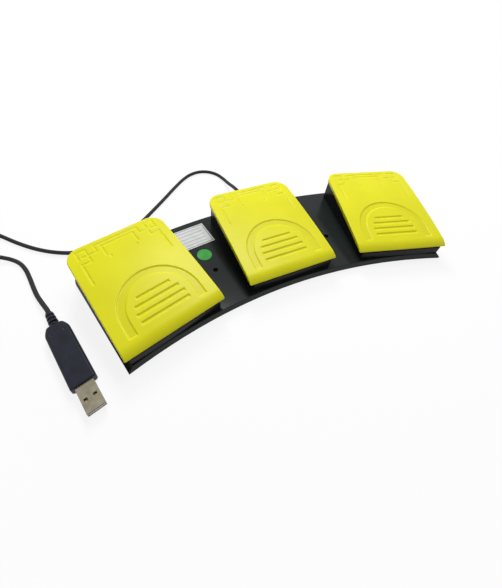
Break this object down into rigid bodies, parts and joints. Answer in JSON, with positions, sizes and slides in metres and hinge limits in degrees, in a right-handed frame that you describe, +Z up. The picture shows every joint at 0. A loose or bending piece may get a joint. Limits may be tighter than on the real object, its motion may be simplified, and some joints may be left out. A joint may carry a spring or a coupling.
{
  "type": "usb foot pedal switch",
  "caption": "Corded foot switch: rolled-lip hinged pedals fanned on a thin curved base, each pressing a sprung button, with a lead and plug.",
  "frame": {"origin": "bottom centre of the base, on the floor between its rubber feet", "axes": "+X to the user's right along the row of pedals, +Y to the rear where the cord leaves, +Z up"},
  "size_m": [0.4636, 0.2262, 0.0322],
  "materials": {
    "yellow_cover": "satin",
    "black_gloss": "gloss",
    "black_plastic": "matte",
    "plug_plastic": "satin",
    "steel": "satin",
    "rubber": "matte",
    "label_sheet": "satin",
    "green_sheet": "matte",
    "circuit_board": "satin",
    "white_plastic": "satin",
    "brass": "polished"
  },
  "bodies": {
    "base": {"base_deck": "black_gloss", "bottom_plate": "black_plastic", "plate_screws": "steel", "rubber_feet": "rubber", "blank_label": "label_sheet", "round_sticker": "green_sheet", "left_housing": "black_gloss", "middle_housing": "black_gloss", "right_housing": "black_gloss", "housing_screws": "steel", "left_hinge_pins": "steel", "middle_hinge_pins": "steel", "right_hinge_pins": "steel", "left_return_spring": "steel", "middle_return_spring": "steel", "right_return_spring": "steel", "left_switch_board": "circuit_board", "middle_switch_board": "circuit_board", "right_switch_board": "circuit_board", "left_switch_body": "black_plastic", "middle_switch_body": "black_plastic", "right_switch_body": "black_plastic", "board_screws": "steel", "stop_pads": "rubber", "left_link_wire": "rubber", "right_link_wire": "rubber", "cord_socket": "white_plastic", "inner_lead": "rubber", "cable_gland": "rubber", "cord_lead": "rubber", "cord_coil": "rubber", "coil_tie": "black_plastic", "cord_tail": "rubber", "plug_boot": "plug_plastic", "plug_body": "plug_plastic", "plug_board": "circuit_board", "plug_shell": "steel", "plug_tongue": "white_plastic", "plug_contacts": "brass"},
    "left_pedal": {"left_pedal_cover": "yellow_cover", "left_pedal_frame": "black_plastic", "left_cover_screws": "steel"},
    "left_button": {"left_switch_button": "white_plastic"},
    "middle_pedal": {"middle_pedal_cover": "yellow_cover", "middle_pedal_frame": "black_plastic", "middle_cover_screws": "steel"},
    "middle_button": {"middle_switch_button": "white_plastic"},
    "right_pedal": {"right_pedal_cover": "yellow_cover", "right_pedal_frame": "black_plastic", "right_cover_screws": "steel"},
    "right_button": {"right_switch_button": "white_plastic"}
  },
  "joints": [
    {"name": "left_pedal_press", "type": "hinge", "parent": "base", "child": "left_pedal", "pos_m": [-0.10622, -0.04094, 0.0115], "axis": [-0.9641, -0.2656, 0], "range_deg": [0, 2.8], "stiffness_Nm_per_rad": 6, "springref_deg": -2.86, "deforming": ["left_return_spring"]},
    {"name": "left_button_push", "type": "slide", "parent": "base", "child": "left_button", "axis": [0, 0, -1], "range_m": [0, 0.0015], "stiffness_N_per_m": 150},
    {"name": "middle_pedal_press", "type": "hinge", "parent": "base", "child": "middle_pedal", "pos_m": [0, -0.02658, 0.0115], "axis": [-1, 0, 0], "range_deg": [0, 2.8], "stiffness_Nm_per_rad": 6, "springref_deg": -2.86, "deforming": ["middle_return_spring"]},
    {"name": "middle_button_push", "type": "slide", "parent": "base", "child": "middle_button", "axis": [0, 0, -1], "range_m": [0, 0.0015], "stiffness_N_per_m": 150},
    {"name": "right_pedal_press", "type": "hinge", "parent": "base", "child": "right_pedal", "pos_m": [0.10622, -0.04094, 0.0115], "axis": [-0.9641, 0.2656, 0], "range_deg": [0, 2.8], "stiffness_Nm_per_rad": 6, "springref_deg": -2.86, "deforming": ["right_return_spring"]},
    {"name": "right_button_push", "type": "slide", "parent": "base", "child": "right_button", "axis": [0, 0, -1], "range_m": [0, 0.0015], "stiffness_N_per_m": 150}
  ],
  "couplings": [
    {"joint": "left_button_push", "follows": "left_pedal_press", "m_per_rad": 0.028},
    {"joint": "middle_button_push", "follows": "middle_pedal_press", "m_per_rad": 0.028},
    {"joint": "right_button_push", "follows": "right_pedal_press", "m_per_rad": 0.028}
  ]
}
